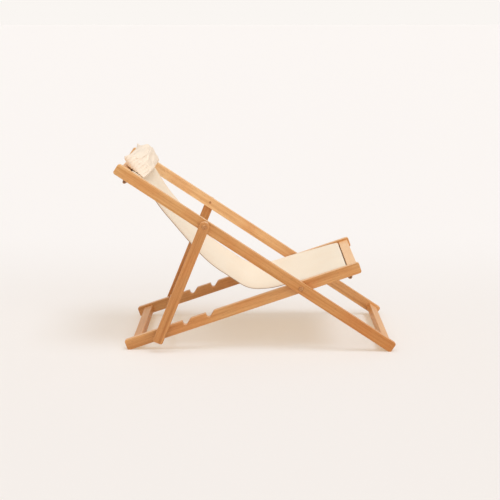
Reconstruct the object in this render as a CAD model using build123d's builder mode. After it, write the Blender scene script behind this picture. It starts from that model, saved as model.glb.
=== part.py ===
from build123d import *
from math import asin, atan2, cos, hypot, radians, sin, tan
import os

# A folding deck chair: a long back frame, a notched seat frame inside it, a prop frame outside it,
# a canvas sling and a head pillow. Millimetres, +Z up, feet on Z = 0, the sitter faces +X.

# Rails
rail_width = 44
rail_thick = 22
rail_corner = 9
rail_ease = 2
back_head_reach = 859
back_foot_reach = 441
seat_floor_reach = 735
seat_front_reach = 246
frame_width = 580
back_angle = radians(33.5)
floor_cut = 1.5

# Prop frame
prop_pivot_reach = 452
arm_width = 40
arm_thick = 22
arm_corner = 8
arm_tail = 42
rung_radius = 9
rung_socket = 15

# Rack of notches in the seat rails
notch_count = 3
notch_pitch = 98
notch_inset = 157.5
notch_depth = 19
notch_clear = 0.3
notch_ramp = radians(40)
tooth_tip = 2.5
tooth_shoulder = 7

# Crossbars and their tenons
bar_width = 38
bar_thick = 24
slot_bar_thick = 34
bar_drop = 9
bar_ease = 3
slot_gap = 6
head_slot_inset = 56
front_slot_inset = 49
foot_bar_inset = 36
floor_bar_inset = 49
tenon_length = 14
tenon_shoulder = 6
tenon_clear = 0.25

# Canvas, hem dowels and pillow
canvas_thick = 2.4
canvas_side_gap = 10.8
canvas_clear = 0.3
pillow_clear = 0.8
dowel_radius = 7
rod_chamfer = 1
dowel_end_gap = 4
slot_bend = 5
batten_bend = 16
sling_shares = ((0.7927, -0.05434), (0.45464, -0.15458), (0.20186, -0.15757))
seat_bend_share = 0.1377
sling_bend_shares = (0.8717, 0.5978, 0.1868, 0.2989)
pillow_width = 124
pillow_height = 92
pillow_end_inset = 7
pillow_shift = 3
pillow_section_shares = ((-1, 0.3), (-0.9, 0.78), (-0.6, 0.97), (0, 1), (0.6, 0.97), (0.9, 0.78), (1, 0.3))
pillow_bow_share = 0.72

# Pivot hardware
pivot_gap = 2.2
washer_thick = 2
washer_radius = 11
bolt_radius = 4
bolt_head_radius = 10
bolt_head_height = 3.6
bolt_head_rim = 1.2
nut_radius = 5.5
nut_length = 10
nut_sink = 0.5
nut_socket_radius = 2.6
nut_socket_depth = 4
nut_web = 1
nut_clear = 0.3
tight_clear = 0.1
running_clear = 0.05

half_rail = rail_width / 2
head_slot_reach = back_head_reach - head_slot_inset
foot_bar_reach = back_foot_reach - foot_bar_inset
front_slot_reach = seat_front_reach - front_slot_inset
floor_bar_reach = seat_floor_reach - floor_bar_inset
pillow_reach = head_slot_reach - pillow_shift
nut_hole_depth = nut_length + nut_sink
shaft_start = nut_sink + nut_socket_depth + nut_web + nut_clear

# Layers across the chair, from the middle outwards
back_outer = frame_width / 2
back_inner = back_outer - rail_thick
seat_outer = back_inner - pivot_gap
seat_inner = seat_outer - rail_thick
prop_inner = back_outer + pivot_gap
prop_outer = prop_inner + arm_thick
canvas_half_width = seat_inner - canvas_side_gap
pillow_half_length = canvas_half_width - pillow_end_inset
head_dowel_half = back_inner - dowel_end_gap
front_dowel_half = seat_inner - dowel_end_gap

# The frame pivot's height puts the back rails' rounded foot corners on the floor, and the seat rails
# lean until theirs meet it too. A thin slice comes off each corner, so that it stands on a flat.
corner_inset = half_rail - rail_corner
pivot_x = (back_head_reach - back_foot_reach) / 2 * cos(back_angle)
pivot_rise = (back_foot_reach - rail_corner) * sin(back_angle) + corner_inset * cos(back_angle)
pivot_z = pivot_rise + rail_corner - floor_cut
seat_arm = seat_floor_reach - rail_corner
seat_angle = asin(pivot_rise / hypot(seat_arm, corner_inset)) - atan2(corner_inset, seat_arm)

# Each frame's plane has X along its rails and Y square to them, towards the sitter
frame_pivot = Vector(pivot_x, 0, pivot_z)
back_plane = Plane(frame_pivot, x_dir=(-cos(back_angle), 0, sin(back_angle)), z_dir=(0, 1, 0))
seat_plane = Plane(frame_pivot, x_dir=(-cos(seat_angle), 0, -sin(seat_angle)), z_dir=(0, 1, 0))

notch_radius = rung_radius + notch_clear
notch_level = half_rail - notch_depth + notch_radius
tooth_rise = half_rail - notch_level
ramp_foot = (-notch_radius * sin(notch_ramp), -notch_radius * cos(notch_ramp))
ramp_run = (tooth_rise - ramp_foot[1]) / tan(notch_ramp)
notch_first = seat_floor_reach - notch_inset
notch_reaches = [notch_first - count * notch_pitch for count in range(notch_count)]
tips = [Vector(reach + notch_radius, half_rail) for reach in notch_reaches]
shoulders = [Vector(reach + ramp_foot[0] - ramp_run, half_rail) for reach in notch_reaches]
rung_centre = seat_plane.from_local_coords(Vector(notch_first, notch_level))
prop_pivot = back_plane.from_local_coords(Vector(prop_pivot_reach, 0))
prop_reach = (rung_centre - prop_pivot).length
prop_plane = Plane(prop_pivot, x_dir=rung_centre - prop_pivot, z_dir=(0, 1, 0))

bar_top = half_rail - bar_drop
canvas_mid_level = bar_top + canvas_clear + canvas_thick / 2
dowel_level = bar_top - slot_bar_thick - 2 * canvas_clear - canvas_thick - dowel_radius
hem_radius = dowel_radius + canvas_clear
inner_bar_shift = slot_gap / 2 + bar_width / 2

head_bars = (head_slot_reach - inner_bar_shift, head_slot_reach + inner_bar_shift)
front_bars = (-front_slot_reach + inner_bar_shift, -front_slot_reach - inner_bar_shift)

os.makedirs("parts", exist_ok=True)


def finish(piece, label):
    """Label a finished piece and write it."""
    piece.part.label = label
    export_step(piece.part, f"parts/{label}.step")


def bar_middle(thick):
    return bar_top - thick / 2


def cut_mortises(plane, face, side, bars):
    """Blind mortises in a rail's inner face, one for each crossbar: (reach, thickness)."""
    depth = tenon_length + tenon_clear
    for reach, thick in bars:
        with BuildSketch(plane.offset(side * face)) as mortise:
            with Locations((reach, bar_middle(thick))):
                Rectangle(
                    bar_width - 2 * tenon_shoulder + 2 * tenon_clear,
                    thick - 2 * tenon_shoulder + 2 * tenon_clear,
                )
        extrude(mortise.sketch, amount=side * depth, mode=Mode.SUBTRACT)


def cut_floor():
    """Take off what reaches below the floor, which leaves a flat to stand on."""
    span = 2 * (back_head_reach + back_foot_reach)
    with BuildSketch(Plane.XY) as floor:
        Rectangle(span, span)
    extrude(floor.sketch, amount=-rail_width, mode=Mode.SUBTRACT)


def make_crossbar(plane, reach, thick, half_length, label):
    """A board across a frame, with a tenon at each end."""
    with BuildPart() as bar:
        with BuildSketch(plane):
            with Locations((reach, bar_middle(thick))):
                RectangleRounded(bar_width, thick, bar_ease)
        extrude(amount=half_length, both=True)
        with BuildSketch(plane):
            with Locations((reach, bar_middle(thick))):
                Rectangle(bar_width - 2 * tenon_shoulder, thick - 2 * tenon_shoulder)
        extrude(amount=half_length + tenon_length, both=True)
    finish(bar, label)


def edges_at(piece, plane, places):
    """A piece's edges along Y that pass through the given places of a frame's plane."""
    chosen = []
    for edge in piece.edges().filter_by(Axis.Y):
        spot = plane.to_local_coords(edge.center())
        if any(hypot(spot.X - place.X, spot.Y - place.Y) < notch_clear for place in places):
            chosen.append(edge)
    return chosen


def rail_outline(start, end):
    """A rail's rounded outline, from one end's reach to the other's."""
    with Locations(((start + end) / 2, 0)):
        RectangleRounded(end - start, rail_width, rail_corner)


head_bar_pairs = [(reach, slot_bar_thick) for reach in head_bars]
front_bar_pairs = [(reach, slot_bar_thick) for reach in front_bars]

for name, side in (("right", -1), ("left", 1)):
    with BuildPart() as back_rail:
        with BuildSketch(back_plane.offset(side * (back_inner + rail_thick / 2))):
            rail_outline(-back_foot_reach, back_head_reach)
        extrude(amount=rail_thick / 2, both=True)
        fillet(back_rail.faces().filter_by(Axis.Y).edges(), rail_ease)
        cut_floor()
        cut_mortises(back_plane, back_inner, side, head_bar_pairs + [(-foot_bar_reach, bar_thick)])
        with BuildSketch(back_plane.offset(side * back_inner)):
            with Locations((0, 0), (prop_pivot_reach, 0)):
                Circle(bolt_radius + tight_clear)
        extrude(amount=side * rail_thick, mode=Mode.SUBTRACT)
        with BuildSketch(back_plane.offset(side * back_inner)):
            with Locations((prop_pivot_reach, 0)):
                Circle(nut_radius + tight_clear)
        extrude(amount=side * nut_hole_depth, mode=Mode.SUBTRACT)
    finish(back_rail, f"back_rail_{name}")

    with BuildPart() as seat_rail:
        with BuildSketch(seat_plane.offset(side * (seat_inner + rail_thick / 2))):
            rail_outline(-seat_front_reach, seat_floor_reach)
            for reach in notch_reaches:
                with BuildLine(Plane((reach, notch_level))):
                    wall = Line((notch_radius, tooth_rise), (notch_radius, 0))
                    bottom = ThreePointArc(wall @ 1, (0, -notch_radius), ramp_foot)
                    ramp = Line(bottom @ 1, (ramp_foot[0] - ramp_run, tooth_rise))
                    Line(ramp @ 1, wall @ 0)
                make_face(mode=Mode.SUBTRACT)
        extrude(amount=rail_thick / 2, both=True)
        fillet(edges_at(seat_rail, seat_plane, tips), tooth_tip)
        fillet(edges_at(seat_rail, seat_plane, shoulders), tooth_shoulder)
        fillet(seat_rail.faces().filter_by(Axis.Y).edges(), rail_ease)
        cut_floor()
        cut_mortises(seat_plane, seat_inner, side, front_bar_pairs + [(floor_bar_reach, bar_thick)])
        with BuildSketch(seat_plane.offset(side * seat_inner)):
            Circle(bolt_radius + running_clear)
        extrude(amount=side * rail_thick, mode=Mode.SUBTRACT)
        with BuildSketch(seat_plane.offset(side * seat_inner)):
            Circle(nut_radius + tight_clear)
        extrude(amount=side * nut_hole_depth, mode=Mode.SUBTRACT)
    finish(seat_rail, f"seat_rail_{name}")

    with BuildPart() as prop_arm:
        with BuildSketch(prop_plane.offset(side * (prop_inner + arm_thick / 2))) as profile:
            Circle(arm_width / 2)
            with Locations(((prop_reach + arm_tail) / 2, 0)):
                Rectangle(prop_reach + arm_tail, arm_width)
            fillet(profile.vertices().group_by(Axis.X)[-1], arm_corner)
        extrude(amount=arm_thick / 2, both=True)
        fillet(prop_arm.faces().filter_by(Axis.Y).edges(), rail_ease)
        with BuildSketch(prop_plane.offset(side * prop_inner)):
            Circle(bolt_radius + running_clear)
        extrude(amount=side * arm_thick, mode=Mode.SUBTRACT)
        with BuildSketch(prop_plane.offset(side * prop_inner)):
            with Locations((prop_reach, 0)):
                Circle(rung_radius + tight_clear)
        extrude(amount=side * rung_socket, mode=Mode.SUBTRACT)
    finish(prop_arm, f"prop_arm_{name}")

make_crossbar(back_plane, head_bars[0], slot_bar_thick, back_inner, "head_crossbar_inner")
make_crossbar(back_plane, head_bars[1], slot_bar_thick, back_inner, "head_crossbar_outer")
make_crossbar(back_plane, -foot_bar_reach, bar_thick, back_inner, "foot_crossbar")
make_crossbar(seat_plane, front_bars[0], slot_bar_thick, seat_inner, "front_crossbar_inner")
make_crossbar(seat_plane, front_bars[1], slot_bar_thick, seat_inner, "front_crossbar_outer")
make_crossbar(seat_plane, floor_bar_reach, bar_thick, seat_inner, "floor_crossbar")


def make_dowel(plane, reach, level, radius, half_length, label):
    """A round rod square to a frame's rails."""
    with BuildPart() as dowel:
        with BuildSketch(plane):
            with Locations((reach, level)):
                Circle(radius)
        extrude(amount=half_length, both=True)
        chamfer(dowel.edges(), rod_chamfer)
    finish(dowel, label)


make_dowel(back_plane, head_slot_reach, dowel_level, dowel_radius, head_dowel_half, "head_hem_dowel")
make_dowel(seat_plane, -front_slot_reach, dowel_level, dowel_radius, front_dowel_half, "front_hem_dowel")
rung_half_length = prop_inner + rung_socket - tight_clear
make_dowel(prop_plane, prop_reach, 0, rung_radius, rung_half_length, "prop_rung")

# The canvas runs from the loop round the head dowel, up between the two head crossbars, over the
# inner one, down through the sling's curve and back over the front crossbars to the front dowel.
head_share_points = [
    back_plane.from_local_coords(Vector(along * head_slot_reach, out * head_slot_reach))
    for along, out in sling_shares
]
sling_bends = [share * head_slot_reach for share in sling_bend_shares]
sling_points = [
    back_plane.from_local_coords(Vector(head_slot_reach, dowel_level + hem_radius)),
    back_plane.from_local_coords(Vector(head_slot_reach, canvas_mid_level)),
    back_plane.from_local_coords(Vector(head_bars[0] - bar_width / 2, canvas_mid_level)),
    *head_share_points,
    seat_plane.from_local_coords(Vector(seat_bend_share * seat_floor_reach, canvas_mid_level)),
    seat_plane.from_local_coords(Vector(-front_slot_reach, canvas_mid_level)),
    seat_plane.from_local_coords(Vector(-front_slot_reach, dowel_level + hem_radius)),
]
side_points = [(point.X, point.Z) for point in sling_points]
bends = [slot_bend, batten_bend, *sling_bends, slot_bend]
side_plane = Plane((0, 0, 0), x_dir=(1, 0, 0), z_dir=(0, -1, 0))
head_dowel_centre = back_plane.from_local_coords(Vector(head_slot_reach, dowel_level))
front_dowel_centre = seat_plane.from_local_coords(Vector(-front_slot_reach, dowel_level))
dowel_centres = [(point.X, point.Z) for point in (head_dowel_centre, front_dowel_centre)]

with BuildPart() as canvas:
    with BuildSketch(side_plane) as band:
        with BuildLine() as route:
            FilletPolyline(*side_points, radius=bends)
            offset(amount=canvas_thick / 2, side=Side.BOTH)
        make_face()
        with Locations(*dowel_centres):
            Circle(hem_radius + canvas_thick)
            Circle(hem_radius, mode=Mode.SUBTRACT)
    extrude(amount=canvas_half_width, both=True)
finish(canvas, "canvas_sling")

# The pillow is a bowed oval, full in the middle and drawn in at its two gathered ends
pillow_middle = canvas_mid_level + canvas_thick / 2 + pillow_clear + pillow_height / 2
with BuildPart() as pillow:
    for along, share in pillow_section_shares:
        with BuildSketch(back_plane.offset(along * pillow_half_length)):
            half_w, half_h = share * pillow_width / 2, share * pillow_height / 2
            bow_w, bow_h = pillow_bow_share * half_w, pillow_bow_share * half_h
            with BuildLine(Plane((pillow_reach, pillow_middle))):
                ThreePointArc((half_w, 0), (bow_w, bow_h), (0, half_h))
                ThreePointArc((0, half_h), (-bow_w, bow_h), (-half_w, 0))
                ThreePointArc((-half_w, 0), (-bow_w, -bow_h), (0, -half_h))
                ThreePointArc((0, -half_h), (bow_w, -bow_h), (half_w, 0))
            make_face()
    loft()
finish(pillow, "head_pillow")

# Four alike pivots: the head lies on the outer piece, the shaft runs through both rails and the nut
# is sunk in the inner piece. Each is a place in the back frame, the outer face and the inner one.
pivots = ((0, back_outer, seat_inner), (prop_pivot_reach, prop_outer, back_inner))

with BuildPart() as bolts:
    for reach, outer, inner in pivots:
        for side in (-1, 1):
            with BuildSketch(back_plane.offset(side * (inner + shaft_start))):
                with Locations((reach, 0)):
                    Circle(bolt_radius)
            extrude(amount=side * (outer - inner - shaft_start + bolt_head_rim))
            with BuildSketch(back_plane.offset(side * outer)):
                with Locations((reach, 0)):
                    Circle(bolt_head_radius)
            extrude(amount=side * bolt_head_height)
    for outer in (back_outer, prop_outer):
        for side in (-1, 1):
            top = side * (outer + bolt_head_height)
            flats = bolts.faces().filter_by(Axis.Y)
            crowns = flats.filter_by_position(Axis.Y, top - bolt_head_rim, top + bolt_head_rim)
            fillet(crowns.edges(), bolt_head_height - bolt_head_rim)
finish(bolts, "pivot_bolts")

with BuildPart() as washers:
    for reach in (0, prop_pivot_reach):
        face = back_inner - washer_thick if reach == 0 else back_outer
        for side in (-1, 1):
            with BuildSketch(back_plane.offset(side * face)):
                with Locations((reach, 0)):
                    Circle(washer_radius)
                    Circle(bolt_radius + running_clear, mode=Mode.SUBTRACT)
            extrude(amount=side * washer_thick)
finish(washers, "pivot_washers")

with BuildPart() as nuts:
    for reach, outer, inner in pivots:
        for side in (-1, 1):
            with BuildSketch(back_plane.offset(side * (inner + nut_sink))):
                with Locations((reach, 0)):
                    Circle(nut_radius)
            extrude(amount=side * (nut_length - nut_sink))
            with BuildSketch(back_plane.offset(side * (inner + nut_sink))):
                with Locations((reach, 0)):
                    RegularPolygon(nut_socket_radius, 6)
            extrude(amount=side * nut_socket_depth, mode=Mode.SUBTRACT)
            with BuildSketch(back_plane.offset(side * (inner + nut_sink + nut_socket_depth + nut_web))):
                with Locations((reach, 0)):
                    Circle(bolt_radius + running_clear)
            extrude(amount=side * nut_length, mode=Mode.SUBTRACT)
finish(nuts, "pivot_nuts")
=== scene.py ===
import bpy
import math
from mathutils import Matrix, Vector, noise


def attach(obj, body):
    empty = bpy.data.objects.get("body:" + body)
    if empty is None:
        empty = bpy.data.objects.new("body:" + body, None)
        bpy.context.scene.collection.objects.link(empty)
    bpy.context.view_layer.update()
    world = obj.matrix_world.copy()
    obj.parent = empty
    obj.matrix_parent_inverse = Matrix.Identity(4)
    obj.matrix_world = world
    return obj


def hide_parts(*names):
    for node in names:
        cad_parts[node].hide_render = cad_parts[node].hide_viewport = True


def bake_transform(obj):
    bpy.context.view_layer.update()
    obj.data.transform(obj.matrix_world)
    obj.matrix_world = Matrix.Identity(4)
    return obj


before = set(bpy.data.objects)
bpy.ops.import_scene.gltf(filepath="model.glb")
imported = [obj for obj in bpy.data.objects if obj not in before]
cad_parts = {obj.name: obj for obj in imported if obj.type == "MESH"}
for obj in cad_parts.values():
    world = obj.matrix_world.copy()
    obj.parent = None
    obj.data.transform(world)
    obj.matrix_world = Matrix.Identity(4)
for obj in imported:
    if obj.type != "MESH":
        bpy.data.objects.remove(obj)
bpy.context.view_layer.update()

# Each frame's line of rails: where it pivots and how it leans. Lengths are metres, angles degrees.
backFrame = {"pivot": (0.174282, 0.256777), "lean": 33.5}
seatFrame = {"pivot": (0.174282, 0.256777), "lean": -19.0523}
propFrame = {"lean": -67.92}
tiny = 1e-9  # keeps a division away from zero


def linear(hexColor):  # from sRGB
    channels = [int(hexColor[at:at + 2], 16) / 255 for at in (1, 3, 5)]
    return [c / 12.92 if c <= 0.04045 else ((c + 0.055) / 1.055) ** 2.4 for c in channels] + [1]


def smooth(low, high, value):
    share = min(1, max(0, (value - low) / (high - low)))
    return share * share * (3 - 2 * share)


def onFrame(rails, along, out, across):  # along the rails, out to the sitter, across the chair
    lean = math.radians(rails["lean"])
    return Vector((
        rails["pivot"][0] - along * math.cos(lean) + out * math.sin(lean),
        across,
        rails["pivot"][1] + along * math.sin(lean) + out * math.cos(lean),
    ))


def addObject(name, data):
    added = bpy.data.objects.new(name, data)
    bpy.context.scene.collection.objects.link(added)
    return added


def shadeSmooth(mesh):
    mesh.polygons.foreach_set("use_smooth", [True] * len(mesh.polygons))


def newPiece(name, verts, faces, uvs=None):
    mesh = bpy.data.meshes.new(name)
    mesh.from_pydata([tuple(vert) for vert in verts], [], faces)
    if uvs:
        layer = mesh.uv_layers.new(name="cloth")
        for loop in mesh.loops:
            layer.data[loop.index].uv = uvs[loop.vertex_index]
    shadeSmooth(mesh)
    return addObject(name, mesh)


def addNode(tree, kind, inputs=None, **settings):
    node = tree.nodes.new(kind)
    for field, value in settings.items():
        setattr(node, field, value)
    for socket, value in (inputs or {}).items():
        if isinstance(value, bpy.types.NodeSocket):
            tree.links.new(value, node.inputs[socket])
        else:
            node.inputs[socket].default_value = value
    return node


def newMaterial(name, finish):  # finish: what is the same all over, by the shader's own sockets
    material = bpy.data.materials.new(name)
    material.use_nodes = True
    shader = material.node_tree.nodes["Principled BSDF"]
    for socket, value in finish.items():
        shader.inputs[socket].default_value = value
    return material, material.node_tree, shader


def setRamp(ramp, stops, colors):
    for index, (place, color) in enumerate(zip(stops, colors)):
        spot = ramp.elements[index] if index < 2 else ramp.elements.new(place)
        spot.position, spot.color = place, linear(color)


def dress(piece, material):
    piece.data.materials.clear()
    piece.data.materials.append(material)


# Oiled beech, planed and sanded: it looks satin and warm, with a straight grain, short dark
# flecks and soft blotches; its arrises are paled by wear and by a painted highlight, faces that
# look up get a painted highlight, and the ends by the floor get painted shade.
wood = {
    "tones": {   # the dark, middle and pale streaks of a board
        "plain": ("#B6773E", "#CD9158", "#E1AA6E"),
        "fresh": ("#BC8047", "#D39B61", "#E6B377"),
        "golden": ("#C5894A", "#DCA569", "#EDBC7F"),
        # a paler copy of the tones that paints the light on the far back rail
        "light": ("#DAA770", "#F2C58F", "#FAD8A8"),
        # a paler copy of the tones that paints a highlight on the crossbars
        "pale": ("#DFA96F", "#F3C088", "#FBD3A1"),
        "mellow": ("#C28446", "#DC9F5C", "#EAB676"),
        # a dark copy of the tones that paints the shade on the dowels inside the hems
        "shadeDark": ("#6E4A2C", "#8A6140", "#A67C55"),
    },
    "toneStops": (0.28, 0.5, 0.74),
    "figure": {"long": 0.30, "wide": 0.009, "detail": 4, "roughness": 0.6, "seed": 3.1},
    "flecks": {"long": 0.012, "wide": 0.0009, "detail": 1, "roughness": 0.5, "seed": 11.7},
    "fleck": "#8A5029", "fleckFrom": (0.62, 0.72), "fleckShare": 0.45,
    "blotch": "#D78744", "blotchSize": 0.16, "blotchFrom": (0.45, 0.62), "blotchShare": 0.3,
    "ringWidth": 0.0052, "ringShare": 0.1, "ringStretch": 0.06, "ringCentre": (0, 0.17, 0.09),
    "ringWander": {"Distortion": 3.2, "Detail": 2, "Detail Scale": 1.4},
    "ringUnit": 0.314,   # the width of one ring of the Wave node at a scale of 1
    # arrises paled by wear and by a painted highlight: how wide, and how far the rounded normal
    # turns away, as a cosine
    "wearAndHighlight": "#F9CFA0", "arrisWidth": 0.0036, "arrisSamples": 8,
    "arrisFrom": (0.995, 0.9), "arrisShare": 0.75,
    # faces that look up get a painted highlight in the same pale colour
    "topHighlightFrom": (0.5, 0.85), "topHighlightShare": 0.55,   # how far up a face looks, from 0 to 1
    # painted shade, multiplied over the ends that stand by the floor
    "paintedFloorShade": "#E5CDB3",   # darkens the ends that stand by the floor
    "roughness": (0.48, 0.34),   # of the dark and the pale streaks
    "finish": {"Specular IOR Level": 0.3},
    "bumpDepth": 0.00025,
}

# The boards that the pieces are cut from: how the grain is turned, where along X the painted
# shade towards the floor starts and ends, and how much of the painted highlight on upward faces
# they get
boards = {
    "oiledBeechBack": {
        "turn": (0, -backFrame["lean"], 0), "tone": "golden", "paintedFloorShade": (-0.5, 0.5),
        "pieces": ["back_rail_right"],
    },
    "oiledBeechSeat": {
        "turn": (0, -seatFrame["lean"], 0), "tone": "fresh", "paintedFloorShade": (0.45, -2.4),
        "pieces": ["seat_rail_right", "seat_rail_left"],
    },
    "oiledBeechProp": {
        "turn": (0, -propFrame["lean"], 0), "tone": "plain", "paintedFloorShade": (-0.15, -0.75),
        "pieces": ["prop_arm_right", "prop_arm_left"],
    },
    # the crossbars' paler tone paints a highlight on them
    "oiledBeechAcrossPaintedHighlight": {
        "turn": (0, 0, 90), "tone": "pale",
        "pieces": ["head_crossbar_inner", "head_crossbar_outer", "front_crossbar_inner",
                   "front_crossbar_outer", "prop_rung"],
    },
    "oiledBeechFloorBar": {
        "turn": (0, 0, 90), "tone": "mellow", "paintedFloorShade": (-0.25, -0.8), "topHighlightScale": 0.4,
        "pieces": ["foot_crossbar", "floor_crossbar"],
    },
    # the far back rail's paler copy paints the light that falls on it
    "oiledBeechBackLeftPaintedLight": {
        "turn": (0, -backFrame["lean"], 0), "tone": "light", "paintedFloorShade": (-0.5, 0.5),
        "pieces": ["back_rail_left"],
    },
    # the dowels' dark tone paints the shade they lie in
    "shadeDarkBeechDowel": {
        "turn": (0, 0, 90), "tone": "shadeDark",
        "pieces": ["head_hem_dowel", "front_hem_dowel"],
    },
}


def makeWood(name, board):
    material, tree, shader = newMaterial(name, wood["finish"])
    tones = wood["tones"][board["tone"]]
    coordinates = addNode(tree, "ShaderNodeTexCoord")
    place = coordinates.outputs["Object"]
    grain = addNode(tree, "ShaderNodeMapping", {
        "Vector": place, "Rotation": [math.radians(angle) for angle in board["turn"]],
    }).outputs[0]

    def streaks(look):
        scale = (1 / look["long"], 1 / look["wide"], 1 / look["wide"])
        moved = addNode(tree, "ShaderNodeMapping", {
            "Vector": grain, "Scale": scale, "Location": (look["seed"],) * 3,
        })
        return addNode(tree, "ShaderNodeTexNoise", {
            "Vector": moved.outputs[0], "Scale": 1,
            "Detail": look["detail"], "Roughness": look["roughness"],
        }).outputs["Fac"]

    figure = streaks(wood["figure"])
    tone = addNode(tree, "ShaderNodeValToRGB", {"Fac": figure})
    setRamp(tone.color_ramp, wood["toneStops"], tones)
    blotch = addNode(tree, "ShaderNodeTexNoise", {
        "Vector": grain, "Scale": 1 / wood["blotchSize"], "Detail": 2,
    })
    warm = addNode(tree, "ShaderNodeMapRange", {
        "Value": blotch.outputs["Fac"], "To Max": wood["blotchShare"],
        "From Min": wood["blotchFrom"][0], "From Max": wood["blotchFrom"][1],
    })
    ringPlace = addNode(tree, "ShaderNodeMapping", {
        "Vector": grain, "Scale": (wood["ringStretch"], 1, 1), "Location": wood["ringCentre"],
    })
    rings = addNode(tree, "ShaderNodeTexWave", {
        "Vector": ringPlace.outputs[0], "Scale": wood["ringUnit"] / wood["ringWidth"],
        **wood["ringWander"],
    }, wave_type="RINGS", rings_direction="X", wave_profile="SAW")
    ringed = addNode(tree, "ShaderNodeMath", {
        0: rings.outputs["Fac"], 1: wood["ringShare"],
    }, operation="MULTIPLY")
    flecked = addNode(tree, "ShaderNodeMapRange", {
        "Value": streaks(wood["flecks"]), "To Max": wood["fleckShare"],
        "From Min": wood["fleckFrom"][0], "From Max": wood["fleckFrom"][1],
    })
    # An arris, where the rounded normal turns away from the face's own, gets wear and a painted
    # highlight
    rounded = addNode(tree, "ShaderNodeBevel", {
        "Radius": wood["arrisWidth"],
    }, samples=wood["arrisSamples"])
    facing = addNode(tree, "ShaderNodeNewGeometry").outputs["Normal"]
    turned = addNode(tree, "ShaderNodeVectorMath", {
        0: rounded.outputs[0], 1: facing,
    }, operation="DOT_PRODUCT")
    arrisWearAndHighlight = addNode(tree, "ShaderNodeMapRange", {
        "Value": turned.outputs["Value"], "To Max": wood["arrisShare"],
        "From Min": wood["arrisFrom"][0], "From Max": wood["arrisFrom"][1],
    })
    # Faces that look up get a painted highlight
    upward = addNode(tree, "ShaderNodeSeparateXYZ", {0: coordinates.outputs["Normal"]})
    paintedTopHighlight = addNode(tree, "ShaderNodeMapRange", {
        "Value": upward.outputs["Z"], "To Max": wood["topHighlightShare"] * board.get("topHighlightScale", 1),
        "From Min": wood["topHighlightFrom"][0], "From Max": wood["topHighlightFrom"][1],
    })
    wearAndHighlightShare = addNode(tree, "ShaderNodeMath", {
        0: arrisWearAndHighlight.outputs[0], 1: paintedTopHighlight.outputs[0],
    }, operation="MAXIMUM")
    # The pale colour paints wear and a highlight on the arrises, and a highlight on upward faces
    layers = (
        (warm, wood["blotch"]), (ringed, tones[0]),
        (flecked, wood["fleck"]), (wearAndHighlightShare, wood["wearAndHighlight"]),
    )
    color = tone.outputs[0]
    for share, layer in layers:
        color = addNode(tree, "ShaderNodeMix", {
            0: share.outputs[0], 6: color, 7: linear(layer),
        }, data_type="RGBA").outputs[2]
    # Painted shade, darker towards the ends that stand by the floor
    if "paintedFloorShade" in board:
        along = addNode(tree, "ShaderNodeSeparateXYZ", {0: place})
        floorShadeShare = addNode(tree, "ShaderNodeMapRange", {
            "Value": along.outputs["X"],
            "From Min": board["paintedFloorShade"][0], "From Max": board["paintedFloorShade"][1],
        })
        color = addNode(tree, "ShaderNodeMix", {
            0: floorShadeShare.outputs[0], 6: color, 7: linear(wood["paintedFloorShade"]),
        }, data_type="RGBA", blend_type="MULTIPLY").outputs[2]
    tree.links.new(color, shader.inputs["Base Color"])
    gloss = addNode(tree, "ShaderNodeMapRange", {
        "Value": figure, "To Min": wood["roughness"][0], "To Max": wood["roughness"][1],
    })
    tree.links.new(gloss.outputs[0], shader.inputs["Roughness"])
    height = addNode(tree, "ShaderNodeMath", {
        0: figure, 1: flecked.outputs[0],
    }, operation="SUBTRACT")
    bump = addNode(tree, "ShaderNodeBump", {
        "Height": height.outputs[0], "Distance": wood["bumpDepth"],
    })
    tree.links.new(bump.outputs[0], shader.inputs["Normal"])
    return material


for name, board in boards.items():
    material = makeWood(name, board)
    for piece in board["pieces"]:
        dress(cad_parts[piece], material)
print("wood is on the frames")

# Cotton duck: an undyed plain weave, matt and slightly furry, with thicker threads here and there.
canvasCloth = {
    "thread": "#FDF1DD", "hollow": "#FAE5CC", "hollowShare": 0.45,
    "pitch": 0.0026,   # real threads are about 0.8 mm apart, which is too fine to show
    "slub": (0.045, 0.0016), "slubFrom": (0.2, 0.42), "slubShare": 0.35,
    "stain": "#FBE8CF", "stainSize": 0.14, "stainFrom": (0.45, 0.7), "stainShare": 0.5,
    "edge": "#B5977A", "edgeBlur": 0.0008,   # painted shade along the long edges
    "bumpDepth": 0.0004, "bumpStrength": 0.6,
    "finish": {
        "Roughness": 0.92, "Specular IOR Level": 0.2, "Sheen Weight": 0.12, "Sheen Roughness": 0.6,
    },
}
# The pillow's case is a finer cotton that has yellowed a little
pillowCloth = dict(canvasCloth, thread="#FCEDDB", hollow="#F2DDC5", stain="#F7E1C8", pitch=0.0022)


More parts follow.
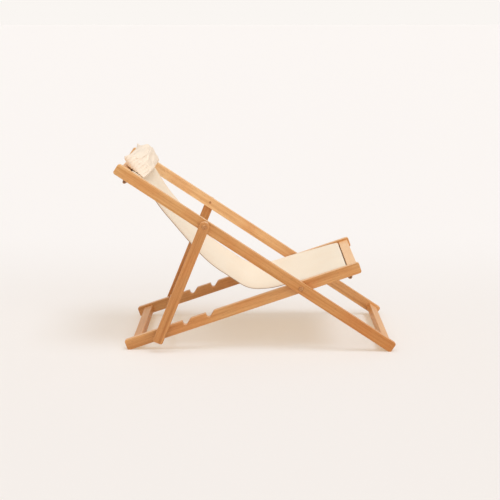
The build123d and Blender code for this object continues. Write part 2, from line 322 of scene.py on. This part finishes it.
def makeCloth(name, cloth, onUv, edgeShadeFrom=None):  # how far out the painted shade on each long edge starts
    material, tree, shader = newMaterial(name, cloth["finish"])
    coordinates = addNode(tree, "ShaderNodeTexCoord")
    place = coordinates.outputs["UV" if onUv else "Object"]
    split = addNode(tree, "ShaderNodeSeparateXYZ", {0: place})
    weave = slub = 1
    for axis in ("X", "Y") if onUv else ("X", "Y", "Z"):
        turns = addNode(tree, "ShaderNodeMath", {
            0: split.outputs[axis], 1: math.pi / cloth["pitch"],
        }, operation="MULTIPLY")
        wave = addNode(tree, "ShaderNodeMath", {0: turns.outputs[0]}, operation="SINE").outputs[0]
        weave = addNode(tree, "ShaderNodeMath", {
            0: weave, 1: wave,
        }, operation="MULTIPLY").outputs[0]
    for long, wide in (cloth["slub"], cloth["slub"][::-1]):
        scale = (1 / long, 1 / wide, 1 / wide)
        moved = addNode(tree, "ShaderNodeMapping", {"Vector": place, "Scale": scale})
        threads = addNode(tree, "ShaderNodeTexNoise", {
            "Vector": moved.outputs[0], "Scale": 1, "Detail": 1,
        }).outputs["Fac"]
        slub = addNode(tree, "ShaderNodeMath", {
            0: slub, 1: threads,
        }, operation="MULTIPLY").outputs[0]
    sunk = addNode(tree, "ShaderNodeMapRange", {
        "Value": weave, "From Min": -1, "To Max": cloth["hollowShare"],
    })
    slubbed = addNode(tree, "ShaderNodeMapRange", {
        "Value": slub, "To Max": cloth["slubShare"],
        "From Min": cloth["slubFrom"][0], "From Max": cloth["slubFrom"][1],
    })
    stain = addNode(tree, "ShaderNodeTexNoise", {
        "Vector": coordinates.outputs["Object"], "Scale": 1 / cloth["stainSize"], "Detail": 3,
    })
    stained = addNode(tree, "ShaderNodeMapRange", {
        "Value": stain.outputs["Fac"], "To Max": cloth["stainShare"],
        "From Min": cloth["stainFrom"][0], "From Max": cloth["stainFrom"][1],
    })
    layers = [(sunk, cloth["hollow"]), (slubbed, cloth["hollow"]), (stained, cloth["stain"])]
    # Painted shade along the long edges
    if edgeShadeFrom:
        far = addNode(tree, "ShaderNodeMath", {0: split.outputs["X"]}, operation="ABSOLUTE")
        edgeShadeMask = addNode(tree, "ShaderNodeMapRange", {
            "Value": far.outputs[0],
            "From Min": edgeShadeFrom, "From Max": edgeShadeFrom + cloth["edgeBlur"],
        })
        layers.append((edgeShadeMask, cloth["edge"]))
    color = linear(cloth["thread"])
    for share, layer in layers:
        color = addNode(tree, "ShaderNodeMix", {
            0: share.outputs[0], 6: color, 7: linear(layer),
        }, data_type="RGBA").outputs[2]
    tree.links.new(color, shader.inputs["Base Color"])
    height = addNode(tree, "ShaderNodeMath", {0: weave, 1: slubbed.outputs[0]}, operation="ADD")
    bump = addNode(tree, "ShaderNodeBump", {
        "Height": height.outputs[0],
        "Distance": cloth["bumpDepth"], "Strength": cloth["bumpStrength"],
    })
    tree.links.new(bump.outputs[0], shader.inputs["Normal"])
    return material


mottleStops = (0.35, 0.65)


def mottle(tree, shader, look):  # small blotches between two tones
    place = addNode(tree, "ShaderNodeTexCoord").outputs["Object"]
    blotches = addNode(tree, "ShaderNodeTexNoise", {
        "Vector": place, "Scale": look["blotchesPerMetre"], "Detail": look["detail"],
    }).outputs["Fac"]
    tone = addNode(tree, "ShaderNodeValToRGB", {"Fac": blotches})
    setRamp(tone.color_ramp, mottleStops, look["tones"])
    tree.links.new(tone.outputs[0], shader.inputs["Base Color"])
    return blotches


# Turned brass that has browned in the open, so it is dull and warm, and rolled steel for the
# washers, which is greyer and shines more
metals = {
    "brownedBrass": {
        "tones": ("#A06A40", "#C99664"), "finish": {"Metallic": 0.6}, "roughness": (0.57, 0.37),
        "blotchesPerMetre": 260, "detail": 3, "bumpDepth": 0.0001,   # blotches of 4 mm
        "pieces": ["pivot_bolts", "pivot_nuts"],
    },
    "plainSteel": {
        "tones": ("#8C857C", "#B9B3AA"), "finish": {"Metallic": 0.95}, "roughness": (0.5, 0.3),
        "blotchesPerMetre": 260, "detail": 3, "bumpDepth": 0.0001,
        "pieces": ["pivot_washers"],
    },
}


def makeMetal(name, look):
    material, tree, shader = newMaterial(name, look["finish"])
    blotches = mottle(tree, shader, look)
    gloss = addNode(tree, "ShaderNodeMapRange", {
        "Value": blotches, "To Min": look["roughness"][0], "To Max": look["roughness"][1],
    })
    tree.links.new(gloss.outputs[0], shader.inputs["Roughness"])
    bump = addNode(tree, "ShaderNodeBump", {"Height": blotches, "Distance": look["bumpDepth"]})
    tree.links.new(bump.outputs[0], shader.inputs["Normal"])
    return material


for name, look in metals.items():
    material = makeMetal(name, look)
    for piece in look["pieces"]:
        dress(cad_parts[piece], material)
print("metal is on the pivots")

# The canvas, one sheet from the hem round the head dowel to the hem round the front one
sling = {
    "halfWidth": 0.233, "thickness": 0.0016,
    "hemThickness": 0.003, "hemWidth": 0.018, "hemStep": 0.0018,
    "headSlot": 0.803, "frontSlot": -0.197, "dowelOut": -0.031, "dowelRadius": 0.0073,
    "slotShift": 0.0011,   # how far the outer layer moves over at the slot's mouth
    # the hem's loop in a slot: heights of its end, the slot's bottom and its mouth, the turn round
    # the dowel in degrees and its step, and how far the layers lie apart by their thickness
    "loopEnd": -0.0135, "slotBottom": -0.0175, "slotMouth": -0.004,
    "loopTurn": (125, 410, 15), "layers": 0.6,
    # the line down the sling's middle in the side view, and how round each bend is
    "route": [(-0.48608, 0.71124), (-0.45314, 0.68944), (-0.38060, 0.57172), (-0.19866, 0.35477),
              (-0.03072, 0.24073), (0.07388, 0.23745), (0.35434, 0.33430)],
    "bends": [0.005, 0.016, 0.700, 0.480, 0.150, 0.240, 0.005], "loopBend": 0.004,
    "arcStep": 0.004, "leastSteps": 3,
    "bendReach": 0.999,   # the most of a straight run that a bend takes up
    "step": 0.006, "columns": 44,
    "edgeSteps": (0, 0.0006, 0.002, 0.006, 0.011),   # in from each edge, closer where it rounds
    "rimFrom": 0.0001, "rimWidth": 0.002, "rimShare": 0.35,   # the edge thins to this share
    # ripples, and a flutter at the edges: the depth of both, then each noise's scale across and
    # along and its seed
    "ripple": 0.0016, "ripples": (5, 3.2, 2.7), "flutters": (0.7, 9, 8.1), "flutterPower": 6,
    "sag": 0.004,
    "slack": (0.12, 0.22),   # how far from each end the free cloth begins
    # how the seat's cloth stands off its line at each hem: rise, and where it starts and ends
    "liftRight": [(0.002, 0.01, 0.08), (0.0075, 0.17, 0.28), (-0.0095, 0.28, 0.44)],
    "liftLeft": [(0.0045, 0.005, 0.06), (0.0095, 0.04, 0.26), (-0.014, 0.27, 0.44)],
    "shadedEdgeWidth": 0.0022,   # how much of each long edge gets painted shade
    "bendStart": (-0.24, 0, 0.36), "bendEnd": (0.19, 0, 0.27),   # from the one frame to the other
}


def hemLoop(rails, slot, inward):  # round the dowel and up the slot, as points in the side view
    ring = sling["dowelRadius"] + sling["thickness"] / 2
    layer = sling["thickness"] * sling["layers"]
    first, last, step = sling["loopTurn"]
    points = [(-layer, sling["loopEnd"]), (-layer, sling["slotBottom"])]
    for turn in range(first, last + 1, step):
        angle = math.radians(turn)
        points.append((ring * math.cos(angle), sling["dowelOut"] + ring * math.sin(angle)))
    points += [(layer, sling["slotBottom"]), (layer + sling["slotShift"], sling["slotMouth"])]
    spots = [onFrame(rails, slot + inward * along, out, 0) for along, out in points]
    return [(spot.x, spot.z) for spot in spots]


def roundedLine(points, bends):  # straight runs with an arc at each bend
    line = [Vector(points[0])]
    for before, corner, after, radius in zip(points, points[1:], points[2:], bends):
        before, corner, after = Vector(before), Vector(corner), Vector(after)
        runs = (before - corner, after - corner)
        to, on = (run.normalized() for run in runs)
        half = to.angle(on) / 2
        reach = min([radius / math.tan(half)] + [run.length * sling["bendReach"] for run in runs])
        start, end = corner + to * reach, corner + on * reach
        centre = corner + (to + on).normalized() * (reach / math.cos(half))
        arm = start - centre
        swing = arm.angle_signed(end - centre)
        steps = max(sling["leastSteps"], int(reach / sling["arcStep"]))
        for count in range(steps + 1):
            turn = -swing * count / steps
            line.append(centre + Vector((
                arm.x * math.cos(turn) - arm.y * math.sin(turn),
                arm.x * math.sin(turn) + arm.y * math.cos(turn),
            )))
    line.append(Vector(points[-1]))
    return line


def evenLine(line, step):  # the same line in equal steps, and its length
    marks = [0]
    for first, second in zip(line, line[1:]):
        marks.append(marks[-1] + (second - first).length)
    count = max(2, round(marks[-1] / step))
    even, at = [], 0
    for index in range(count + 1):
        wanted = marks[-1] * index / count
        while at < len(marks) - 2 and marks[at + 1] < wanted:
            at += 1
        run = max(marks[at + 1] - marks[at], tiny)
        even.append(line[at].lerp(line[at + 1], (wanted - marks[at]) / run))
    return even, marks[-1]


headLoop = hemLoop(backFrame, sling["headSlot"], -1)
frontLoop = hemLoop(seatFrame, sling["frontSlot"], 1)
loopLength = sum((Vector(b) - Vector(a)).length for a, b in zip(frontLoop, frontLoop[1:]))
headBends, frontBends = ([sling["loopBend"]] * (len(loop) - 1) for loop in (headLoop, frontLoop))
slingCorners = headLoop + sling["route"] + frontLoop[::-1]
slingBends = headBends + sling["bends"] + frontBends
slingLine, slingLength = evenLine(roundedLine(slingCorners, slingBends), sling["step"])
slingRows = len(slingLine)
rowStep = slingLength / (slingRows - 1)
print("canvas is", round(slingLength, 3), "m long with its hems")


def slingColumns():  # places across the canvas, close together at each hem's step
    half, count = sling["halfWidth"], sling["columns"]
    inner = half - sling["hemWidth"]
    middle = [-inner + 2 * inner * index / count for index in range(count + 1)]
    edge = [half - step for step in sling["edgeSteps"]] + [inner + sling["hemStep"]]
    return [-place for place in edge] + middle + edge[::-1]


def slingShift(row, across):  # how far the cloth stands off its line
    share, along = across / sling["halfWidth"], row * rowStep
    fromFront = max(0, slingLength - along - loopLength)
    free = smooth(*sling["slack"], along) * smooth(*sling["slack"], slingLength - along)
    ripples, flutters = sling["ripples"], sling["flutters"]
    wave = noise.noise(Vector((across * ripples[0], along * ripples[1], ripples[2])))
    flutter = noise.noise(Vector((share * flutters[0], along * flutters[1], flutters[2])))
    flutter *= abs(share) ** sling["flutterPower"]
    right, left = (
        sum(rise * smooth(start, end, fromFront) for rise, start, end in hem)
        for hem in (sling["liftRight"], sling["liftLeft"])
    )
    shift = free * (sling["ripple"] * (wave + flutter) - sling["sag"] * (1 - share * share))
    return shift + (right + (left - right) * (1 + share) / 2)


def slingThickness(across):
    half, far = sling["halfWidth"], abs(across)
    inner = half - sling["hemWidth"]
    hem = smooth(inner, inner + sling["hemStep"], far)
    thickness = sling["thickness"] + (sling["hemThickness"] - sling["thickness"]) * hem
    rim = smooth(half + sling["rimFrom"], half - sling["rimWidth"], far)
    return thickness * (sling["rimShare"] + (1 - sling["rimShare"]) * rim)


def sheetFaces(rows, wide):  # both sides of the sheet, then its four edges
    sheet = rows * wide
    faces = []
    for row in range(rows - 1):
        left, right = row * wide, row * wide + wide - 1
        for a in range(left, right):
            faces.append((a, a + 1, a + wide + 1, a + wide))
            faces.append((a + sheet, a + sheet + wide, a + sheet + wide + 1, a + sheet + 1))
        for a, b in ((left, left + wide), (right + wide, right)):
            faces.append((a, b, b + sheet, a + sheet))
    for first in range(wide - 1):
        last = (rows - 1) * wide + first
        faces.append((first, first + sheet, first + sheet + 1, first + 1))
        faces.append((last, last + 1, last + sheet + 1, last + sheet))
    return faces


def makeSling(columns):
    verts, uvs = [], []
    for side in (1, -1):
        for row, spot in enumerate(slingLine):
            before, after = slingLine[max(row - 1, 0)], slingLine[min(row + 1, slingRows - 1)]
            run = (after - before).normalized()
            normal = Vector((-run.y, run.x))
            for across in columns:
                out = slingShift(row, across) + side * slingThickness(across) / 2
                verts.append((spot.x + normal.x * out, across, spot.y + normal.y * out))
                uvs.append((across, row * rowStep))
    return newPiece("canvasSling", verts, sheetFaces(slingRows, len(columns)), uvs)


slingPlaces = slingColumns()
canvas = makeSling(slingPlaces)
# the long edges get painted shade from here out
shadedEdgeStart = sling["halfWidth"] - sling["shadedEdgeWidth"]
dress(canvas, makeCloth("cottonDuckCanvas", canvasCloth, True, shadedEdgeStart))

# Rows of stitches along both hems, each stitch a short thread that bulges in its middle
stitching = {
    "fromEdge": 0.0155, "pitch": 0.0042, "length": 0.0029, "thread": 0.00045, "lift": 0.0002,
    "bareRows": 8,   # no stitches where the hem is turned in at each end
}
# Cotton sewing thread: matt, a shade darker than the cloth, and mottled by its twist
cottonThread = {
    "tones": ("#D9BE9C", "#F1DCC0"), "finish": {"Roughness": 0.8},
    "blotchesPerMetre": 900, "detail": 2,   # twists of about 1 mm
}


def makeThread():
    material, tree, shader = newMaterial("cottonThread", cottonThread["finish"])
    mottle(tree, shader, cottonThread)
    return material


def stitchTree(material):
    tree = bpy.data.node_groups.new("hemStitches", "GeometryNodeTree")
    tree.interface.new_socket("Geometry", in_out="INPUT", socket_type="NodeSocketGeometry")
    for name in ("Pitch", "Length", "Thread"):
        tree.interface.new_socket(name, in_out="INPUT", socket_type="NodeSocketFloat")
    tree.interface.new_socket("Geometry", in_out="OUTPUT", socket_type="NodeSocketGeometry")
    given = addNode(tree, "NodeGroupInput")
    path = addNode(tree, "GeometryNodeMeshToCurve", {0: given.outputs["Geometry"]})
    spaced = addNode(tree, "GeometryNodeResampleCurve", {
        "Curve": path.outputs[0], "Length": given.outputs["Pitch"],
    }, mode="LENGTH")
    tangent = addNode(tree, "GeometryNodeInputTangent")
    turned = addNode(tree, "FunctionNodeAlignEulerToVector", {
        "Vector": tangent.outputs[0],
    }, axis="Z")
    stitch = addNode(tree, "GeometryNodeMeshUVSphere", {"Segments": 6, "Rings": 5, "Radius": 1})
    size = addNode(tree, "ShaderNodeCombineXYZ", {
        0: given.outputs["Thread"], 1: given.outputs["Thread"], 2: given.outputs["Length"],
    })
    many = addNode(tree, "GeometryNodeInstanceOnPoints", {
        "Points": spaced.outputs[0], "Instance": stitch.outputs[0],
        "Rotation": turned.outputs[0], "Scale": size.outputs[0],
    })
    real = addNode(tree, "GeometryNodeRealizeInstances", {0: many.outputs[0]})
    dressed = addNode(tree, "GeometryNodeSetMaterial", {
        "Geometry": real.outputs[0], "Material": material,
    })
    addNode(tree, "NodeGroupOutput", {0: dressed.outputs[0]})
    return tree


def makeStitches(name, lines, thread):
    verts, edges = [], []
    for line in lines:
        edges += [(len(verts) + index, len(verts) + index + 1) for index in range(len(line) - 1)]
        verts += line
    mesh = bpy.data.meshes.new(name + "Guide")
    mesh.from_pydata(verts, edges, [])
    guide = addObject(name + "Guide", mesh)
    tree = stitchTree(thread)
    sewing = guide.modifiers.new("sewing", "NODES")
    sewing.node_group = tree
    sizes = {
        "Pitch": stitching["pitch"], "Length": stitching["length"] / 2,
        "Thread": stitching["thread"],
    }
    for item in tree.interface.items_tree:
        if item.in_out == "INPUT" and item.name in sizes:
            sewing[item.identifier] = sizes[item.name]
    sewn = guide.evaluated_get(bpy.context.evaluated_depsgraph_get())
    made = bpy.data.meshes.new_from_object(sewn)
    made.name = name
    bpy.data.objects.remove(guide)
    shadeSmooth(made)
    return addObject(name, made)


def hemLines():  # a line of points on each side of each hem
    wanted = sling["halfWidth"] - stitching["fromEdge"]
    wide, sheet, lines = len(slingPlaces), slingRows * len(slingPlaces), []
    verts = canvas.data.vertices
    middles = [(first + second) / 2 for first, second in zip(slingPlaces, slingPlaces[1:])]
    for place in (-wanted, wanted):
        col = min(range(wide - 1), key=lambda index: abs(middles[index] - place))
        share = (place - slingPlaces[col]) / (slingPlaces[col + 1] - slingPlaces[col])
        for side in (0, sheet):
            line = []
            for row in range(stitching["bareRows"], slingRows - stitching["bareRows"]):
                at = side + row * wide + col
                spot = verts[at].co.lerp(verts[at + 1].co, share)
                through = verts[(at + sheet) % (2 * sheet)].co
                line.append(spot + (verts[at].co - through).normalized() * stitching["lift"])
            lines.append(line)
    return lines


hemStitches = makeStitches("hemStitches", hemLines(), makeThread())
for piece in (canvas, hemStitches):
    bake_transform(piece)
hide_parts("canvas_sling")
print("canvas is hung and sewn")

# The head pillow, a slack case that narrows to a gathered seam at each end
pillow = {
    # how far up the rails its long edges lie: in the middle, at the ends, and how late they bend
    "front": (0.737, 0.752, 8), "head": (0.843, 0.857, 4),
    "halfLength": 0.2315, "pullIn": 0.018, "pullPower": 3,
    # the seam's height at the front edge and the head edge, in the middle and at the ends
    "seam": (0.056, 0.050), "endSeam": (0.019, 0.049), "seamPower": 1.8, "seamLate": 4,
    # its height above and below the seam, and how late and how steeply each face falls to it
    "height": {1: 0.0455, -1: 0.038},
    "crownAcross": (2.5, 0.67), "crownAlong": {1: (2.35, 0.58), -1: (5, 0.58)},
    "tilt": 0.32, "slid": 0.14,   # the filling has slid to the head and to one end
    # the grid, and how much of it is crowded to the edges and how much is even
    "columns": 100, "rings": 40, "crowdAlong": (0.35, 0.65), "crowdAcross": (0.7, 0.3),
    # the simulation, and the most that a point may move
    "pressure": 4.5, "swell": 0.05, "mass": 0.15, "stiffness": 12, "bending": 0.15, "quality": 6,
    "frames": 20, "most": 0.009,
    # where the case is held, and how firmly
    "gripEnd": 0.93, "gripSide": (0.9, 0.6), "gripBelow": 0.9,
    # gathers at both ends, how far they wander, and how they move the end seam out and up
    "pleats": 17, "pleatDepth": 0.002, "pleatFrom": (0.66, 0.97), "pleatSides": 10,
    "wander": 2.4, "wanderScale": (2.5, 2, 3), "seamFrom": 0.999, "seamPleat": 0.4,
    "seamShift": 0.003, "seamShiftFrom": 0.96,
    "seamLift": 0.0018, "seamLiftFrom": 0.9, "seamLiftSides": 6,
    "creases": 0.0028, "creaseSides": 4, "creaseEnds": 6, "creaseScale": (1.6, 6, 4),
    "rest": 0.0162, "restBlur": 0.004,   # the flat that it lies on
}


def pillowPoint(across, along, face):  # both from -1 to 1; face is 1 on top and -1 below
    edge, end = abs(across), abs(along)
    headShare = (across + 1) / 2
    longEdges = (pillow["front"], pillow["head"])
    front, head = (middle + (far - middle) * end ** late for middle, far, late in longEdges)
    reach = front + (head - front) * headShare
    low, high = pillow["seam"], pillow["endSeam"]
    middleSeam = low[0] + (low[1] - low[0]) * headShare
    endSeam = high[0] + (high[1] - high[0]) * headShare ** pillow["seamPower"]
    seam = middleSeam + (endSeam - middleSeam) * end ** pillow["seamLate"]
    halfLength = pillow["halfLength"] - pillow["pullIn"] * (1 - edge ** pillow["pullPower"])
    (late, ease), (endLate, endEase) = pillow["crownAcross"], pillow["crownAlong"][face]
    crown = (1 - edge ** late) ** ease * (1 - end ** endLate) ** endEase
    crown *= (1 + pillow["tilt"] * across) * (1 - pillow["slid"] * along)
    out = seam + face * (pillow["height"][face] * crown)
    return onFrame(backFrame, reach, out, along * halfLength)


def pillowGrid():  # the place of each point on the case, from -1 to 1 both ways
    wide, deep = pillow["columns"], pillow["rings"]
    alongShares, acrossShares = pillow["crowdAlong"], pillow["crowdAcross"]
    places, index = [], {}
    for col in range(wide + 1):
        even = 2 * col / wide - 1
        along = math.sin(even * math.pi / 2) * alongShares[0] + even * alongShares[1]
        for ring in range(deep + 1):
            even = 1 - 2 * ring / deep
            across = math.cos(math.pi * ring / deep) * acrossShares[0] + even * acrossShares[1]
            for face in (1, -1):
                if face < 0 and (ring in (0, deep) or col in (0, wide)):
                    index[col, ring, face] = index[col, ring, 1]
                    continue
                index[col, ring, face] = len(places)
                places.append((across, along, face))
    faces = []
    for col in range(wide):
        for ring in range(deep):
            corners = [(col, ring), (col + 1, ring), (col + 1, ring + 1), (col, ring + 1)]
            faces.append([index[c, r, 1] for c, r in corners])
            faces.append([index[c, r, -1] for c, r in reversed(corners)])
    return places, faces


def plumpPillow(case, places):  # cloth simulation: pressure swells a case too big for its filling
    held = case.vertex_groups.new(name="held")
    sideFrom, sideGrip = pillow["gripSide"]
    for index, (across, along, face) in enumerate(places):
        ends = smooth(pillow["gripEnd"], 1, abs(along))
        sides = sideGrip * smooth(sideFrom, 1, abs(across))
        grip = max(ends, sides, pillow["gripBelow"] if face < 0 else 0)
        if grip > 0:
            held.add([index], grip, "REPLACE")
    start = [vert.co.copy() for vert in case.data.vertices]
    plump = case.modifiers.new("plump", "CLOTH")
    cloth = plump.settings
    cloth.quality, cloth.mass = pillow["quality"], pillow["mass"]
    for direction in ("tension", "compression", "shear"):
        setattr(cloth, direction + "_stiffness", pillow["stiffness"])
    cloth.bending_stiffness = pillow["bending"]
    cloth.use_pressure, cloth.uniform_pressure_force = True, pillow["pressure"]
    cloth.shrink_min = -pillow["swell"]
    cloth.vertex_group_mass = "held"
    cloth.effector_weights.gravity = 0
    plump.collision_settings.use_collision = plump.collision_settings.use_self_collision = False
    plump.point_cache.frame_end = pillow["frames"]
    scene = bpy.context.scene
    for count in range(1, pillow["frames"] + 1):
        scene.frame_set(count)
    swollen = case.evaluated_get(bpy.context.evaluated_depsgraph_get()).to_mesh()
    moved = []
    for first, vert in zip(start, swollen.vertices):
        shift = vert.co - first
        moved.append(first + shift * min(1, pillow["most"] / max(shift.length, tiny)))
    case.modifiers.remove(plump)
    case.vertex_groups.remove(held)
    scene.frame_set(1)
    for vert, spot in zip(case.data.vertices, moved):
        vert.co = spot
    case.data.update()


def pleatPillow(case, places):  # gathers at both ends, a few soft creases, and the flat it lies on
    lean = math.radians(backFrame["lean"])
    up = Vector((math.sin(lean), 0, math.cos(lean)))
    normals = [vert.normal.copy() for vert in case.data.vertices]
    pivot = Vector((backFrame["pivot"][0], 0, backFrame["pivot"][1]))
    rest, blur = pillow["rest"], pillow["restBlur"]
    wander, crease = pillow["wanderScale"], pillow["creaseScale"]
    for vert, normal, (across, along, face) in zip(case.data.vertices, normals, places):
        edge, end = abs(across), abs(along)
        bend = noise.noise(Vector((across * wander[0], along * wander[1], face * wander[2])))
        fold = math.sin(across * math.pi * pillow["pleats"] / 2 + pillow["wander"] * bend)
        gather = smooth(*pillow["pleatFrom"], end) * (1 - edge ** pillow["pleatSides"])
        depth = fold if end < pillow["seamFrom"] else pillow["seamPleat"] * fold
        push = pillow["pleatDepth"] * gather * depth
        away = (1 - edge ** pillow["creaseSides"]) * (1 - end ** pillow["creaseEnds"])
        place = (across * crease[0] + along, along * crease[1], face * crease[2] + across)
        push += pillow["creases"] * away * noise.noise(Vector(place))
        vert.co += normal * push
        shift = pillow["seamShift"] * smooth(pillow["seamShiftFrom"], 1, end)
        vert.co.y += math.copysign(shift * fold, along)
        lift = pillow["seamLift"] * smooth(pillow["seamLiftFrom"], 1, end)
        vert.co += up * (lift * (1 - edge ** pillow["seamLiftSides"]) * fold)
        out = (vert.co - pivot).dot(up)
        if out < rest + blur:
            vert.co += up * (rest + blur * math.exp((out - rest - blur) / blur) - out)
    case.data.update()


casePlaces, caseFaces = pillowGrid()
headPillow = newPiece("headPillow", [pillowPoint(*place) for place in casePlaces], caseFaces)
plumpPillow(headPillow, casePlaces)
pleatPillow(headPillow, casePlaces)
finer = headPillow.modifiers.new("finer", "SUBSURF")
finer.levels = finer.render_levels = 1
dress(headPillow, makeCloth("cottonPillowCase", pillowCloth, False))
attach(headPillow, "back_frame")
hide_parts("head_pillow")
print("pillow is filled")

# Matt paper floor under a soft sky: no gloss, so only the chair's shadow shows on it
studio = {
    "floor": "#FAF4EF", "floorSize": 600,
    # what the camera sees of it: near and far colour, where along Y the one turns to the other,
    # and a warm glow that keeps the shadow pale
    "seenNear": "#BECAD7", "seenFar": "#C5D2E0", "seenFrom": (0.2, 2.2), "seenGlow": "#AA9172",
    "finish": {"Roughness": 0.9, "Specular IOR Level": 0.1},
    "sky": "#FCF9F5", "skyStrength": 0.47,
    "skySeen": "#FAF6F2",   # what the camera and reflections get, at a strength of 1
    "lamps": {   # where each comes from, its strength and how wide it is
        "rightSun": ((0.36, -0.17, 1), 0.92, 26),
        "leftSun": ((-0.36, -0.17, 1), 0.5, 26),
        "fillSun": ((0.35, -1, 0.4), 0.95, 70),
    },
}


def makeFloor():
    half = studio["floorSize"] / 2
    corners = [(-half, -half, 0), (half, -half, 0), (half, half, 0), (-half, half, 0)]
    floor = newPiece("studioFloor", corners, [(0, 1, 2, 3)])
    material, tree, shader = newMaterial("palePaperSweep", studio["finish"])
    shader.inputs["Emission Color"].default_value = linear(studio["seenGlow"])
    place = addNode(tree, "ShaderNodeTexCoord").outputs["Object"]
    split = addNode(tree, "ShaderNodeSeparateXYZ", {0: place})
    away = addNode(tree, "ShaderNodeMapRange", {
        "Value": split.outputs["Y"],
        "From Min": studio["seenFrom"][0], "From Max": studio["seenFrom"][1],
    }, interpolation_type="SMOOTHSTEP")
    seenColor = addNode(tree, "ShaderNodeMix", {
        0: away.outputs[0], 6: linear(studio["seenNear"]), 7: linear(studio["seenFar"]),
    }, data_type="RGBA")
    seen = addNode(tree, "ShaderNodeLightPath").outputs["Is Camera Ray"]
    color = addNode(tree, "ShaderNodeMix", {
        0: seen, 6: linear(studio["floor"]), 7: seenColor.outputs[2],
    }, data_type="RGBA")
    tree.links.new(color.outputs[2], shader.inputs["Base Color"])
    tree.links.new(seen, shader.inputs["Emission Strength"])
    dress(floor, material)


def makeSky():
    world = bpy.data.worlds.new("softStudio")
    world.use_nodes = True
    bpy.context.scene.world = world
    tree = world.node_tree
    background = tree.nodes["Background"]
    seen = addNode(tree, "ShaderNodeLightPath")
    shown = addNode(tree, "ShaderNodeMath", {
        0: seen.outputs["Is Camera Ray"], 1: seen.outputs["Is Glossy Ray"],
    }, operation="MAXIMUM")
    strength = addNode(tree, "ShaderNodeMix", {
        0: shown.outputs[0], 2: studio["skyStrength"], 3: 1,
    })
    tint = addNode(tree, "ShaderNodeMix", {
        0: shown.outputs[0], 6: linear(studio["sky"]), 7: linear(studio["skySeen"]),
    }, data_type="RGBA")
    tree.links.new(tint.outputs[2], background.inputs["Color"])
    tree.links.new(strength.outputs[0], background.inputs["Strength"])


makeFloor()
makeSky()
for name, (source, power, width) in studio["lamps"].items():
    lamp = bpy.data.lights.new(name, "SUN")
    lamp.energy, lamp.angle = power, math.radians(width)
    addObject(name, lamp).rotation_euler = Vector(source).to_track_quat("Z", "Y").to_euler()

# The photo's view, worked out for a 500 x 500 picture: its place in metres, turns in radians, and
# focal length in pixels
view = {
    "place": (-0.0095, -4.4766, 1.2886), "pitch": 0.20644, "yaw": 0.00397,
    "focal": 1100, "picture": 500, "sensor": 36,
}
camera = bpy.data.cameras.new("photoCamera")
camera.sensor_width = view["sensor"]
camera.lens = view["focal"] / view["picture"] * view["sensor"]
cameraObject = addObject("photoCamera", camera)
cameraObject.location = view["place"]
cameraObject.rotation_euler = (math.pi / 2 - view["pitch"], 0, view["yaw"])
bpy.context.scene.camera = cameraObject
bpy.context.scene.view_settings.view_transform = "Standard"
print("floor, light and camera are set")
